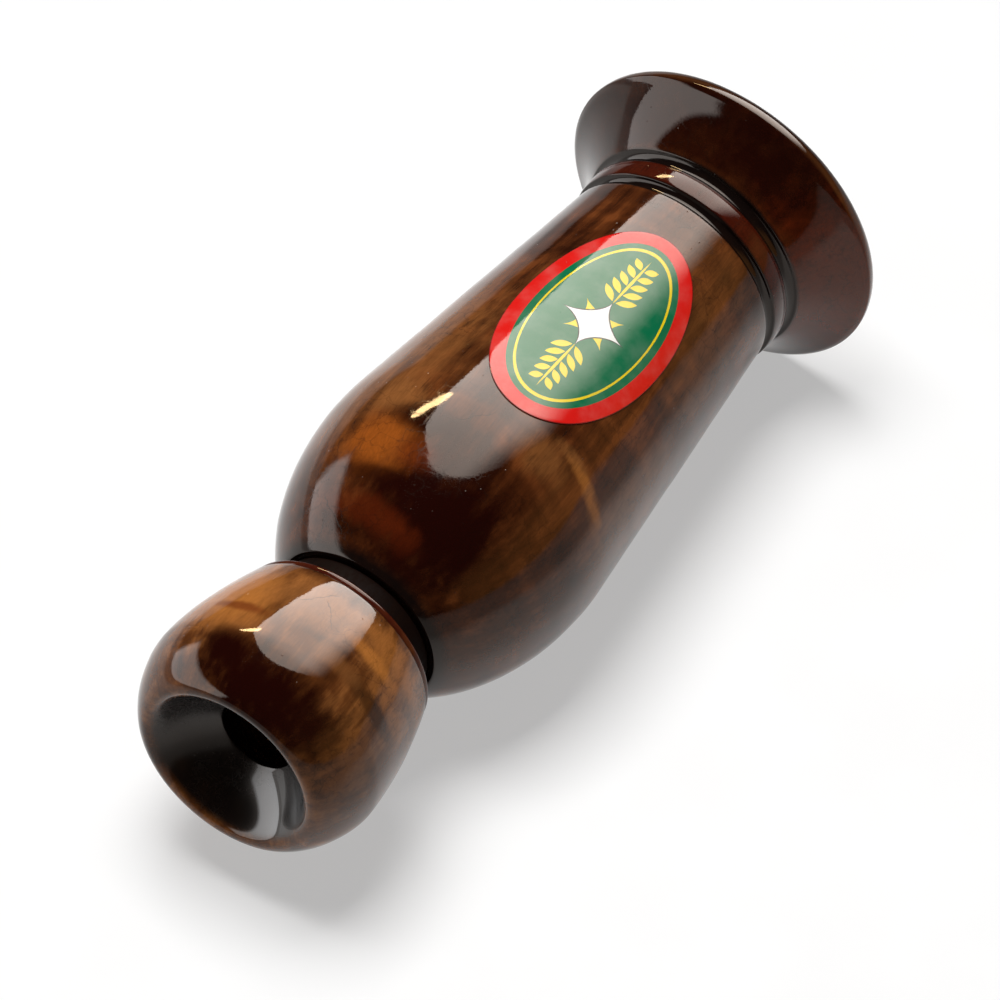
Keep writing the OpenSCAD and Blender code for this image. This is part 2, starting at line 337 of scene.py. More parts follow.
def soft_box(name, azimuth, elevation, width, height, brightness, colour, shape="RECTANGLE", mirrored=True):
    """An area light that faces the call, for mirrored or for matte light.
    Its power is four times its brightness times its area, which is the rectangle's or the ellipse's."""
    lamp = bpy.data.lights.new(name, "AREA")
    lamp.shape = shape
    lamp.size, lamp.size_y = width, height
    lamp.energy = brightness * width * height * 4 * (math.pi / 4 if shape == "ELLIPSE" else 1)
    lamp.color = colour
    light = bpy.data.objects.new(name, lamp)
    away = direction(azimuth, elevation)
    light.location = Vector((0, 0, axis_z)) + away * LIGHT_DISTANCE
    light.rotation_euler = away.to_track_quat("Z", "Y").to_euler()
    light.visible_camera = False
    light.visible_glossy = mirrored
    light.visible_diffuse = not mirrored
    scene.collection.objects.link(light)
    print("%s: %.0f W" % (name, lamp.energy))
    return lamp


def fade_edges(lamp, left=(1, 1), right=(1, 1), bottom=(1, 1), top=(1, 1)):
    """Dims a soft box towards its edges: each edge has the share of light left there and how far in
    the dimming starts. Seen from the call, left is the side of the smaller azimuth."""
    lamp.use_nodes = True
    spot = parts_of(add(lamp.node_tree, "ShaderNodeNewGeometry")["Parametric"])
    strength = 1.0
    for way, near, far in ((spot["X"], left, right), (spot["Y"], bottom, top)):
        strength = ease(way, 0.0, near[1], near[0], 1.0) * strength
        strength = ease(way, 1.0 - far[1], 1.0, 1.0, far[0]) * strength
    plug(lamp.node_tree.nodes["Emission"], {"Strength": strength})


DAYLIGHT, COOL_SKY, SOFT_WHITE = (1.0, 0.985, 0.97), (0.95, 0.97, 1.0), (1.0, 0.98, 0.96)
LAMPLIGHT, FIRELIGHT = (1.0, 0.74, 0.38), (1.0, 0.45, 0.12)
soft_box("key_light", 168, 82, 0.8, 0.8, 11.2, DAYLIGHT, mirrored=False)
window = soft_box("back_window", -150, 14, 2.2, 0.75, 2.6, COOL_SKY)
fade_edges(window, left=(0.2, 0.06), right=(0.2, 0.06), top=(0.2, 0.16))
top_box = soft_box("top_soft_box", 91, 50, 1.74, 2.2, 7.7, SOFT_WHITE, "ELLIPSE")
fade_edges(top_box, left=(0.0, 0.34), top=(0.55, 1.0))
soft_box("warm_lamp", 139, 42, 0.4, 0.13, 32, LAMPLIGHT, "ELLIPSE")
room = soft_box("warm_room", 12, 16, 3.4, 1.0, 0.5, FIRELIGHT)
fade_edges(room, left=(0.0, 0.3), right=(0.0, 0.3), top=(0.0, 0.5))

# %% [markdown]
# ## Outlines of turned pieces
# A lathe makes surfaces of revolution, so each turned piece is an outline carried around the axis.
# The outline could be spun with a modifier, but then the rings would sit where the outline's corners are.
# Here it is first sampled finely and averaged over a short length, because a lacquered edge is never sharp,
# and then thinned, with more rings where it bends. Everything is a whole array, so it is quick.

# %% Outline helpers
BEND_SHARE = 0.6
SAMPLES = 16384


def arc_between(first, last, bend, steps=48):
    """A circular arc: at a share t of the way it lies chord * sin(bend t) / sin(bend) from its first point,
    in a direction that turns evenly by the angle bend. A positive bend bows to the right."""
    first, last = np.array(first, float), np.array(last, float)
    chord, turn, share = last - first, math.radians(bend), np.linspace(0, 1, steps + 1)
    reach = np.hypot(*chord) * np.sin(turn * share) / math.sin(turn)
    heading = math.atan2(chord[1], chord[0]) - turn + turn * share
    return first + reach[:, None] * np.stack([np.cos(heading), np.sin(heading)], 1)


def soft_outline(outline, softness, rings, rounded=None):
    """A closed outline averaged along its length with a bell curve as wide as the softness, then thinned.
    The rings are spread evenly over the sum of the length and of the turning, so bends get more of them.
    Near the point in rounded it is averaged over the greater softness given there."""
    closed = np.vstack([outline, outline[:1]])
    along = np.concatenate([[0], np.cumsum(np.hypot(*np.diff(closed, axis=0).T))])
    even = np.linspace(0, along[-1], SAMPLES, endpoint=False)
    line = np.stack([np.interp(even, along, closed[:, k]) for k in range(2)], 1)
    per_mm = np.fft.rfftfreq(SAMPLES, along[-1] / SAMPLES)
    waves = np.fft.rfft(line, axis=0)

    def averaged(width):
        return np.fft.irfft(waves * np.exp(-2 * (math.pi * width * per_mm[:, None]) ** 2), SAMPLES, axis=0)

    if rounded is None:
        line = averaged(softness)
    else:
        corner, width = rounded
        near = np.exp(-(np.hypot(*(line - corner).T) / (3 * width)) ** 4)[:, None]
        line = averaged(softness) * (1 - near) + averaged(width) * near
    step = np.roll(line, -1, axis=0) - line
    heading = np.unwrap(np.arctan2(step[:, 1], step[:, 0]))
    turning = np.abs(np.diff(heading, append=heading[-1]))
    worth = np.cumsum(1 / SAMPLES + BEND_SHARE * turning / turning.sum())
    pick = np.interp(np.arange(rings) / rings * worth[-1], worth, np.arange(SAMPLES))
    return np.stack([np.interp(pick, np.arange(SAMPLES), line[:, k]) for k in range(2)], 1)


print("a 90 degree arc rises by %.3f of its chord" % arc_between((0, 0), (0, 1), 45)[24, 0])

# %% [markdown]
# ## Meshes
# A grid of points becomes a mesh when neighbouring points are joined by faces, and a turned piece is a grid
# that is closed both along its outline and around the axis. Brushed lacquer isn't quite even,
# so a few long, shallow waves are added to the outside. They make the reflections sway a little.

# %% Mesh helpers
# Each wave of the lacquer: its turning per millimetre, its count around the call, its start and its height
LACQUER_WAVES = [(0.9, 3, 0.3, 0.006), (0.55, -5, 1.7, 0.009), (1.7, 7, 4.1, 0.003), (0.3, 4, 2.6, 0.012),
                 (2.3, -9, 5.2, 0.002), (1.2, 11, 0.9, 0.003)]
LACQUERED_FROM, COAT_RISE = 9.0, 1.5


def lacquer_ripple(place_s, turn):
    """Gentle waves that a brushed lacquer leaves, in millimetres: sines along and around the call."""
    return sum(size * np.sin(k * place_s + m * turn + start) for k, m, start, size in LACQUER_WAVES)


def grid_faces(rows, columns, wrap_rows, wrap_columns, flip=False):
    """Four-cornered faces between neighbouring points of a grid, with either way closed on itself or not."""
    i = np.arange(rows if wrap_rows else rows - 1)
    j = np.arange(columns if wrap_columns else columns - 1)
    i, j = (a.ravel() for a in np.meshgrid(i, j, indexing="ij"))
    down, right = (i + 1) % rows, (j + 1) % columns
    corners = np.stack([i * columns + j, down * columns + j, down * columns + right, i * columns + right], 1)
    return corners[:, ::-1] if flip else corners


def make_piece(name, points, faces, body, node, slot, material):
    """Puts points in millimetres and lists of faces into a mesh, on a body and in place of a CAD node."""
    world_points = np.asarray(points, float) * MM + [lip_x, 0, axis_z]
    mesh = bpy.data.meshes.new(name)
    mesh.from_pydata(world_points.tolist(), [], [face for part in faces for face in part.tolist()])
    mesh.polygons.foreach_set("use_smooth", np.ones(len(mesh.polygons), bool))
    mesh.update()
    piece = bpy.data.objects.new(name, mesh)
    scene.collection.objects.link(piece)
    mesh.materials.append(material)
    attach(piece, body)
    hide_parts(node)
    print("%s: %d faces" % (name, len(mesh.polygons)))
    return piece


def around_axis(radius, place_s, turn):
    """Points at a radius, a place along the axis and a turn from the top towards -Y."""
    return np.stack(np.broadcast_arrays(place_s, -radius * np.sin(turn), radius * np.cos(turn)), -1)


def turn_piece(name, outline, segments, body, node, slot, material, lacquered=False):
    """A piece whose outline is carried around the axis. The lacquer's ripple grows past a radius.
    The sign of the outline's area says which way it runs, so that the faces point out."""
    turn = np.linspace(0, 2 * math.pi, segments, endpoint=False)[None, :]
    radius, place_s = outline[:, :1], outline[:, 1:]
    area = np.sum(radius * np.roll(place_s, -1) - np.roll(radius, -1) * place_s)
    if lacquered:
        coat = np.clip((radius - LACQUERED_FROM) / COAT_RISE, 0, 1)
        radius = radius + coat * lacquer_ripple(place_s, turn)
    points = around_axis(radius, place_s, turn).reshape(-1, 3)
    faces = [grid_faces(len(outline), segments, True, True, flip=area > 0)]
    return make_piece(name, points, faces, body, node, slot, material)


print("mesh helpers ready")

# %% [markdown]
# ## Walnut
# Walnut is a dark brown wood with long fibres and short dark pores and, in this piece, amber figure
# that crosses the grain. Its old finish has fine wrinkles. A picture of wood would stretch over a turned
# surface, so the grain here is solid: noise in the object's own coordinates, stretched along the axis
# for fibres and pores and across it for the figure. One group makes it for barrel, mouthpiece and wedge.

# %% Walnut grain group
STREAK_WEIGHT, CURL_WEIGHT, BLOTCH_WEIGHT, WAVE_WEIGHT = 0.5, 0.3, 0.25, 0.22
PORE_SHARE = 0.3
PORE_BLACK = (0.006, 0.0016, 0.0008, 1)


def make_grain_group():
    """Colour of a solid block of wood from three tones, by a weighted sum of streaks, curls, blotches
    and waves, a mask of its dark flecks and fibres, and a mask of its pores and wrinkles."""
    takes = {"Point": "vector", "Dark": "colour", "Middle": "colour", "Light": "colour"}
    gives = {"Color": "colour", "Flecks": "value", "Pores": "value"}
    tree, entry, leave = start_group("wood_grain", takes, gives)
    point = entry["Point"]
    bent = swayed(point, (0.03, 0.06, 0.06), 2, (8, 7, 7))
    streaks = noise(bent, (0.035, 0.42, 0.42), detail=5, roughness=0.62)
    curls = noise(bent, (0.17, 0.04, 0.04), detail=3)
    blotches = noise(point, 0.05)
    waves = noise(bent, (0.42, 0.07, 0.07)) - 0.5
    tone = streaks * STREAK_WEIGHT + curls * CURL_WEIGHT + blotches * BLOTCH_WEIGHT + waves * WAVE_WEIGHT
    colour = mix_colour(ease(tone, 0.42, 0.53), entry["Dark"], entry["Middle"])
    colour = mix_colour(ease(tone, 0.52, 0.64), colour, entry["Light"])
    crowd = ease(noise(point, (0.07, 0.1, 0.1)), 0.42, 0.62, 0.2, 1.0)
    mottle = noise(point, (0.38, 0.95, 0.95), detail=6, roughness=0.62)
    mottle = ease(mottle, 0.44, 0.72, 0.0, 0.42) * crowd
    fibres = ease(noise(point, (0.4, 6, 6), detail=3), 0.3, 0.7, 0.2, 0.0)
    pores = ease(noise(point, (0.3, 2.6, 2.6)), 0.6, 0.74) * crowd
    cells = {"Vector": swayed(point, 0.6, 3, 2.4) * (0.6, 0.3, 0.3), "Scale": 1.0}
    seams = add(tree, "ShaderNodeTexVoronoi", cells, feature="DISTANCE_TO_EDGE")["Distance"]
    wrinkles = ease(seams, 0.0, 0.045, 1.0, 0.0) * ease(noise(point, 0.11), 0.46, 0.6)
    plug(leave, {"Color": colour, "Flecks": mottle + fibres, "Pores": pores.do("MAXIMUM", wrinkles)})
    return tree


wood_grain = make_grain_group()


def fleck_wood(colour, grain, fleck_share=1.0):
    """Darkens a wood colour by the flecks, fibres, pores and wrinkles of its grain."""
    shade = (grain["Flecks"] * fleck_share).do("ADD", grain["Pores"] * PORE_SHARE, clamp=True)
    return mix_colour(shade, colour, PORE_BLACK)


print("group:", wood_grain.name)

# %% [markdown]
# ## Marks in the wood
# Some marks have a place of their own: a flame of amber figure, a dark heart, a burnt groove, a fine check.
# Each is a mask worked out from the distance to a point, to a ring or to a line,
# so it can be put exactly where the real one is, and it stays there when the piece moves.

# %% Mark groups
RING_WANDER = 0.25


def make_patch_group():
    """A soft-edged ellipsoid with ragged edges: 1 at its centre, 0 outside its reach along X, Y and Z."""
    takes = {"Point": "vector", "Centre": "vector", "Reach": "vector", "Ragged": "value"}
    tree, entry, leave = start_group("figure_patch", takes, {"Mask": "value"})
    offset = (entry["Point"] - entry["Centre"]) / entry["Reach"]
    edge = noise(entry["Point"], (0.16, 0.55, 0.55), detail=4, roughness=0.6)
    far = offset.do("LENGTH") + (edge - 0.5) * entry["Ragged"]
    plug(leave, {"Mask": ease(far, 0.25, 1.0, 1.0, 0.0)})
    return tree


def make_band_group():
    """A ring around the axis: 1 within its half width of a place along the axis, 0 past its fade."""
    takes = {"Point": "vector", "Place": "value", "Half Width": "value", "Fade": "value"}
    tree, entry, leave = start_group("ring_band", takes, {"Mask": "value"})
    wander = noise(entry["Point"], 0.5, detail=3) - 0.5
    gap = abs(parts_of(entry["Point"])["X"] - entry["Place"]) + wander * RING_WANDER
    plug(leave, {"Mask": 1.0 - (gap - entry["Half Width"]).do("DIVIDE", entry["Fade"], clamp=True)})
    return tree


def make_check_group():
    """A hair crack: 1 close to the line from Start to End, which wanders a little, and 0 away from it.
    How deep a point lies below the line doesn't count, so the crack shows along its whole length."""
    takes = {"Point": "vector", "Start": "vector", "End": "vector", "Width": "value"}
    tree, entry, leave = start_group("fine_check", takes, {"Mask": "value"})
    line = entry["End"] - entry["Start"]
    away = swayed(entry["Point"], 0.7, 4, 1.3) - entry["Start"]
    share = away.do("DOT_PRODUCT", line).do("DIVIDE", line.do("DOT_PRODUCT", line), clamp=True)
    off = away - line * share
    outward = (entry["Point"] * (0, 1, 1)).do("NORMALIZE")
    gap = (off - outward * off.do("DOT_PRODUCT", outward)).do("LENGTH")
    near = ease(gap / entry["Width"], 0.3, 1.0, 1.0, 0.0)
    plug(leave, {"Mask": near * ease(abs(share - 0.5), 0.3, 0.5, 1.0, 0.0)})
    return tree


figure_patch = make_patch_group()
ring_band = make_band_group()
fine_check = make_check_group()
print("groups:", figure_patch.name, ring_band.name, fine_check.name)

# %% [markdown]
# The groups are placed from short lists. A mark is put where it is on the turned surface:
# a place along the axis and a turn from the top. The radius there follows from the outline.

# %% Placing marks
PATCH_RAGGED, CHECK_STRENGTH = 0.9, 0.6
CHECK_BLACK = (0.004, 0.002, 0.001, 1)
SURFACE_SEARCH = 0.8


def on_outline(outline, place_s, turn_degrees):
    """The point of a turned piece's outside at a place along the axis and a turn from the top, in mm."""
    near = np.abs(outline[:, 1] - place_s) < SURFACE_SEARCH
    radius = outline[near, 0].max()
    return tuple(float(x) for x in around_axis(radius, place_s, math.radians(turn_degrees)))


def paint_patches(point, colour, outline, patches):
    """Mixes soft patches into the wood: place, turn, reach along and across, colour and strength."""
    for place_s, turn, along, across, tint, strength in patches:
        mask = use(figure_patch, point, Centre=on_outline(outline, place_s, turn),
                   Reach=(along, across, across), Ragged=PATCH_RAGGED)["Mask"]
        colour = stain(colour, mask, strength, tint)
    return colour


def paint_rings(point, colour, rings):
    """Stains rings around the axis: place, half width, fade, colour and strength."""
    for place_s, half_width, fade, tint, strength in rings:
        mask = use(ring_band, point, Place=place_s, Half_Width=half_width, Fade=fade)["Mask"]
        colour = stain(colour, mask, strength, tint)
    return colour


def score_checks(point, colour, pits, outline, checks):
    """Draws hair cracks between two spots of the surface into the colour and the pits."""
    for start, end, width in checks:
        mask = use(fine_check, point, Start=on_outline(outline, *start), End=on_outline(outline, *end),
                   Width=width)["Mask"]
        colour = stain(colour, mask, CHECK_STRENGTH, CHECK_BLACK)
        pits = pits.do("MAXIMUM", mask)
    return colour, pits


print("a patch has edges ragged by %.1f of its reach" % PATCH_RAGGED)

# %% [markdown]
# ## Lacquer
# The call is dipped or brushed with a thick clear lacquer. It is nearly a mirror, but it has a slight
# orange peel, the pores show through it as tiny pits, and a few specks of dust are caught in it.
# The group gives a height for a bump and a roughness, and the label uses it too,
# because it lies under the same coat.

# %% Lacquer group
LACQUER_BUMP, LACQUER_IOR, LACQUER_TINT = 2.5e-6, 1.4, (1.0, 0.88, 0.79, 1)
PIT_DEPTH, PIT_ROUGHNESS, BARE_ROUGHNESS = 0.25, 0.12, 0.6
SPECKS_PER_MM, SPECK_HEIGHT, SPECK_CHOICE = 0.75, 9.0, 0.72


def make_lacquer_group():
    """Height and roughness of a lacquered surface: broad and fine orange peel, pits at pores, dust specks."""
    takes = {"Point": "vector", "Pits": "value"}
    tree, entry, leave = start_group("lacquer_skin", takes, {"Height": "value", "Roughness": "value"})
    point, pits = entry["Point"], entry["Pits"]
    dust = add(tree, "ShaderNodeTexVoronoi", {"Vector": point, "Scale": SPECKS_PER_MM}, feature="F1")
    lot = add(tree, "ShaderNodeSeparateColor", {0: dust["Color"]})[0]
    specks = ease(dust["Distance"], 0.03, 0.1, 1.0, 0.0) * lot.do("GREATER_THAN", SPECK_CHOICE)
    peel = noise(point, 0.7, detail=1) + noise(point, 3, detail=1)
    rough = ease(noise(point, 0.12, detail=3), 0.35, 0.7, 0.035, 0.09)
    plug(leave, {"Height": peel - pits * PIT_DEPTH + specks * SPECK_HEIGHT,
                 "Roughness": rough + pits * PIT_ROUGHNESS})
    return tree


lacquer_skin = make_lacquer_group()


def lacquer(shader, point, pits, bare=0.0):
    """Gives a shader the lacquer's roughness, bump and gloss. Where bare is 1, the wood has no lacquer."""
    skin = use(lacquer_skin, point, Pits=pits)
    bump(shader, skin["Height"], LACQUER_BUMP)
    rough = skin["Roughness"].do("ADD", bare * BARE_ROUGHNESS, clamp=True)
    plug(shader, {"Roughness": rough, "IOR": LACQUER_IOR, "Specular Tint": LACQUER_TINT})


print("group:", lacquer_skin.name)

# %% [markdown]
# ## Barrel
# The barrel is one turned piece: a rounded shoulder, a straight taper, two grooves burnt with a wire,
# a bead between them and a flared bell with a rounded rim. Inside are the socket for the mouthpiece,
# the sound bore and the horn. Its outline is the same as the CAD outline, so the fits are the same too.

# %% Barrel outline
front_r, barrel_r, shoulder_length = 11.0, 19.05, 21.4
groove_width, groove_depth, waist_bead_width = 1.5, 0.75, 2.8
taper_end_r, waist_bead_r, bell_foot_r = 14.3, 14.6, 14.9
bell_length, rim_length, rim_rounding = 8.3, 2.1, 1.5
socket_r, bore_r, horn_r, horn_length = 8.0, 7.15, 16.5, 16.0
socket_play = 0.8
BELL_BEND, HORN_BEND = -13, 16
EDGE_SOFTNESS, RINGS, SEGMENTS = 0.12, 360, 256
socket_end = flange_end + socket_play
widest_at = barrel_start + shoulder_length
bell_start = call_length - bell_length
rim_start = call_length - rim_length
taper_end = bell_start - 2 * groove_width - waist_bead_width
waist_bead_start = taper_end + groove_width
waist_bead_end = waist_bead_start + waist_bead_width
waist_edge_r = (taper_end_r + waist_bead_r) / 2


def shoulder_and_taper():
    """An ellipse about the widest circle, from the front face to where the straight taper touches it."""
    reach = shoulder_length / math.sqrt(1 - (front_r / barrel_r) ** 2)
    squeezed = (taper_end - widest_at) * barrel_r / reach
    slant = math.acos(barrel_r / math.hypot(squeezed, taper_end_r))
    touch = math.pi - math.atan2(taper_end_r, squeezed) - slant
    turn = np.linspace(math.asin(front_r / barrel_r), touch, 160)
    return np.stack([barrel_r * np.sin(turn), widest_at - reach * np.cos(turn)], 1)


def groove(start, first_r, last_r):
    """Half an ellipse cut below the line from one radius to another."""
    turn = np.linspace(0, math.pi, 33)
    share = (1 - np.cos(turn)) / 2
    radius = first_r + (last_r - first_r) * share - groove_depth * np.sin(turn)
    return np.stack([radius, start + groove_width * share], 1)


shoulder = shoulder_and_taper()
taper_start_r, taper_start = shoulder[-1]
waist_bend = 2 * math.degrees(math.atan((waist_bead_r - waist_edge_r) / (waist_bead_width / 2)))
rim_turn = np.linspace(0, math.pi / 2, 33)
bell_edge = (bell_r - rim_rounding / 3, rim_start - rim_rounding / 3)
barrel_outline = np.vstack([
    [[socket_r, barrel_start]],
    shoulder,
    groove(taper_end, taper_end_r, waist_edge_r),
    arc_between((waist_edge_r, waist_bead_start), (waist_edge_r, waist_bead_end), waist_bend),
    groove(waist_bead_end, waist_edge_r, bell_foot_r),
    arc_between((bell_foot_r, bell_start), bell_edge, BELL_BEND),
    np.stack([bell_r - rim_rounding * (1 - np.cos(rim_turn)), rim_start + rim_length * np.sin(rim_turn)], 1),
    arc_between((horn_r, call_length), (bore_r, call_length - horn_length), HORN_BEND),
    [[bore_r, socket_end], [socket_r, socket_end]],
])
barrel_rings = soft_outline(barrel_outline, EDGE_SOFTNESS, RINGS)
print("taper starts at %.2f mm, radius %.2f mm" % (taper_start, taper_start_r))

# %% [markdown]
# Amber figure glows on the shoulder, a dark heart runs down from it, a light streak crosses the side,
# the bell is dark, the grooves are burnt black, and the rim of the bell is rubbed a little lighter.
# The front face beside the mouthpiece is painted near-black, as shade in the gap. The other colours are those
# of the bare wood, because the light and the lacquer add the rest.

# %% Barrel finish and piece
AMBER, HONEY, FLAME = (0.3, 0.075, 0.009, 1), (0.27, 0.1, 0.027, 1), (0.45, 0.16, 0.032, 1)
EMBER, OXBLOOD = (0.13, 0.018, 0.003, 1), (0.012, 0.0010, 0.0004, 1)
# The near-black below is used for the burnt grooves and also for painted shade in gaps and hollows.
UMBER, BURNT_AND_SHADE = (0.035, 0.010, 0.0028, 1), (0.003, 0.002, 0.002, 1)
WAIST_RED = (0.05, 0.004, 0.0018, 1)
barrel_wood, shader, point = start_material("barrel_walnut")
grain = use(wood_grain, point, Dark=(0.026, 0.0055, 0.0013, 1), Middle=(0.072, 0.018, 0.0042, 1),
            Light=(0.16, 0.044, 0.0105, 1))
colour = paint_patches(point, grain["Color"], barrel_rings, [
    (56, -42, 24, 13, HONEY, 0.75), (47.5, -22, 4, 5, HONEY, 0.8), (42, 80, 28, 22, UMBER, 0.4),
    (35, 22, 14, 17, OXBLOOD, 1.0), (40.5, -18, 5.5, 7.5, AMBER, 0.95), (40.5, -1, 3, 4, EMBER, 0.5),
    (32.5, -6, 2.4, 9, EMBER, 0.42), (31.5, 12, 2.2, 5, EMBER, 0.25), (45, -3, 2.8, 8, OXBLOOD, 0.9),
    (36.5, -3, 1.6, 9, OXBLOOD, 0.75), (50, 36, 4, 5, HONEY, 0.6), (53.6, 46, 1.3, 4.5, HONEY, 0.6),
    (52.9, 55, 1.3, 4.5, FLAME, 0.55), (52.0, 64, 1.2, 4.5, FLAME, 0.55), (51.0, 72, 1.1, 4.5, HONEY, 0.3),
    (42, -32, 4, 1.4, UMBER, 0.6), (47, -32, 4.5, 1.1, UMBER, 0.5), (53, -31, 4, 1.1, UMBER, 0.6),
    (89, 40, 8, 9, HONEY, 0.25), (60, 84, 16, 7, HONEY, 0.35), (79, 66, 12, 8, HONEY, 0.3)])
colour = paint_rings(point, colour, [(bell_start + 4.2, 3.4, 1.6, OXBLOOD, 0.85)])
colour = paint_patches(point, colour, barrel_rings, [(103, 92, 9, 19, EMBER, 0.75)])
colour = paint_rings(point, colour, [(waist_bead_start + waist_bead_width / 2, 1.2, 0.5, WAIST_RED, 0.8)])
colour, pits = score_checks(point, fleck_wood(colour, grain), grain["Pores"], barrel_rings, [
    ((44, -2), (51, 14), 0.12), ((29, -12), (33.5, -34), 0.14), ((90, 14), (92.5, 22), 0.12)])
half_groove = groove_width / 2
# The last ring is painted shade: the front face and the start of the shoulder, in the gap beside the
# mouthpiece.
colour = paint_rings(point, colour, [
    (taper_end + half_groove, half_groove, 0.35, BURNT_AND_SHADE, 0.96),
    (waist_bead_end + half_groove, half_groove, 0.35, BURNT_AND_SHADE, 0.96),
    (rim_start + 0.6, 0.1, 0.6, HONEY, 0.15),
    (barrel_start, 0.6, 1.0, BURNT_AND_SHADE, 0.9)])
plug(shader, {"Base Color": colour})
lacquer(shader, point, pits)
print("barrel finish:", len(barrel_wood.node_tree.nodes), "nodes")
turn_piece("barrel_turned", barrel_rings, SEGMENTS, "barrel", "barrel", "barrel_wood", barrel_wood,
           lacquered=True)

# %% [markdown]
# ## Mouthpiece
# The mouthpiece is turned from the same wood: a dished front that the lips press on, a round knob,
# a thin bead, a neck, and a tenon with two grooves for the rubber rings. The air hole runs right through it.
# Its lip is worn rounder than the rest, so the outline is averaged over a greater length there.

# %% Mouthpiece outline
lip_r, knob_widest_at, knob_length, knob_back_r = 11.1, 8.7, 22.6, 13.2
bead_width, bead_r, neck_r = 1.5, 12.95, 10.3
dish_depth, air_hole_r, seat_gap, tenon_clearance = 7.0, 4.9, 0.2, 0.05
ring_groove_r, ring_side_play = 6.38, 0.25
LIP_SOFTNESS, LIP_POWER, BACK_POWER, DISH_BEND = 1.4, 1.25, 1.7, -16
tenon_start, tenon_r = barrel_start - seat_gap, socket_r - tenon_clearance
quarter, share = np.linspace(0, math.pi / 2, 97), np.linspace(0, 1, 97)
lip_curve = np.stack([lip_r + (knob_r - lip_r) * np.sin(quarter) ** LIP_POWER,
                      knob_widest_at * (1 - np.cos(quarter) ** LIP_POWER)], 1)
back_curve = np.stack([knob_r + (knob_back_r - knob_r) * share ** BACK_POWER,
                       knob_widest_at + (knob_length - knob_widest_at) * share], 1)
bead_line_r = knob_back_r - (knob_back_r - neck_r) / 4
bead_low = np.where(share < 0.5, bead_line_r, neck_r)
bead_curve = np.stack([bead_low + (bead_r - bead_low) * np.sin(math.pi * share),
                       knob_length + bead_width * (1 - np.cos(math.pi * share)) / 2], 1)


def ring_seat(first, last):
    """The square groove of a seal ring in the tenon, with its play on each side."""
    first, last = first - ring_side_play, last + ring_side_play
    return [[tenon_r, first], [ring_groove_r, first], [ring_groove_r, last], [tenon_r, last]]


mouthpiece_outline = np.vstack([
    arc_between((air_hole_r, dish_depth), (lip_r, 0), DISH_BEND), lip_curve, back_curve, bead_curve,
    [[neck_r, tenon_start], [tenon_r, tenon_start]],
    ring_seat(front_ring_first, front_ring_last), ring_seat(rear_ring_first, rear_ring_last),
    [[tenon_r, tenon_end], [air_hole_r, tenon_end]],
])
mouthpiece_rings = soft_outline(mouthpiece_outline, EDGE_SOFTNESS, RINGS, rounded=((lip_r, 0), LIP_SOFTNESS))
print("mouthpiece outline:", len(mouthpiece_outline), "points")

# %% [markdown]
# The knob is light on top and behind, with a dark heart towards the lip. The dish is painted near-black as
# shade in its hollow, and worn duller than the knob, apart from a pool where the lacquer ran together. The
# tenon is left bare.

# %% Mouthpiece finish and piece
BEAD_RED = (0.05, 0.006, 0.003, 1)
DISH_EDGE, DISH_END, DISH_BARE = (10.2, 11.2), (9.0, 12.0), 0.3
COAT_R, COAT_PLACE, COAT_TURN, COAT_REACH, COAT_RAGGED = 8.5, 4.0, math.radians(150), (9, 7, 7), 0.2
TENON_FADE = 0.2
mouthpiece_wood, shader, point = start_material("mouthpiece_walnut")
grain = use(wood_grain, point, Dark=(0.03, 0.008, 0.002, 1), Middle=(0.1, 0.03, 0.007, 1),
            Light=(0.24, 0.085, 0.022, 1))
colour = paint_patches(point, grain["Color"], mouthpiece_rings, [
    (15, -32, 9, 11, FLAME, 0.95), (17, 5, 6, 9, HONEY, 0.7), (16.4, 44, 1.6, 7, FLAME, 0.9),
    (14, 70, 1.6, 7, FLAME, 0.3), (19.5, 62, 3.4, 13, FLAME, 0.5), (11.8, 56, 1.8, 9, UMBER, 0.85),
    (12, 30, 1.8, 6, HONEY, 0.5), (12.2, -21, 1.2, 6, EMBER, 0.7), (4.5, 80, 8, 14, UMBER, 0.45),
    (3, 12, 7.5, 12, OXBLOOD, 1.0), (3.5, 42, 6, 8, OXBLOOD, 0.85), (5.5, -12, 4, 6, OXBLOOD, 1.0)])
colour, pits = score_checks(point, fleck_wood(colour, grain, 0.8), grain["Pores"], mouthpiece_rings, [
    ((16, -2), (20.5, 12), 0.12), ((15, 20), (19, 8), 0.1)])
# The first ring is painted shade in the crease between the knob and the bead; the second stains the bead dark
# red.
colour = paint_rings(point, colour, [
    (knob_length + 0.1, 0.1, 0.3, BURNT_AND_SHADE, 0.7),
    (knob_length + bead_width, bead_width - 0.2, 0.2, BEAD_RED, 0.8)])
from_axis, along_axis = (point * (0, 1, 1)).do("LENGTH"), parts_of(point)["X"]
dish = ease(from_axis, *DISH_EDGE, 1.0, 0.0) * ease(along_axis, *DISH_END, 1.0, 0.0)
coat_centre = around_axis(COAT_R, COAT_PLACE, COAT_TURN).tolist()
coat = use(figure_patch, point, Centre=coat_centre, Reach=COAT_REACH, Ragged=COAT_RAGGED)["Mask"]
# Painted shade: inside the dish the colour is taken nearly to black.
plug(shader, {"Base Color": stain(colour, dish, 0.97, BURNT_AND_SHADE), "Coat Weight": coat * dish})
tenon = ease(along_axis, tenon_start - TENON_FADE, tenon_start + TENON_FADE)
lacquer(shader, point, pits, bare=dish * DISH_BARE + tenon)
knob = turn_piece("mouthpiece_turned", mouthpiece_rings, SEGMENTS, "mouthpiece", "mouthpiece",
                  "mouthpiece_wood", mouthpiece_wood, lacquered=True)
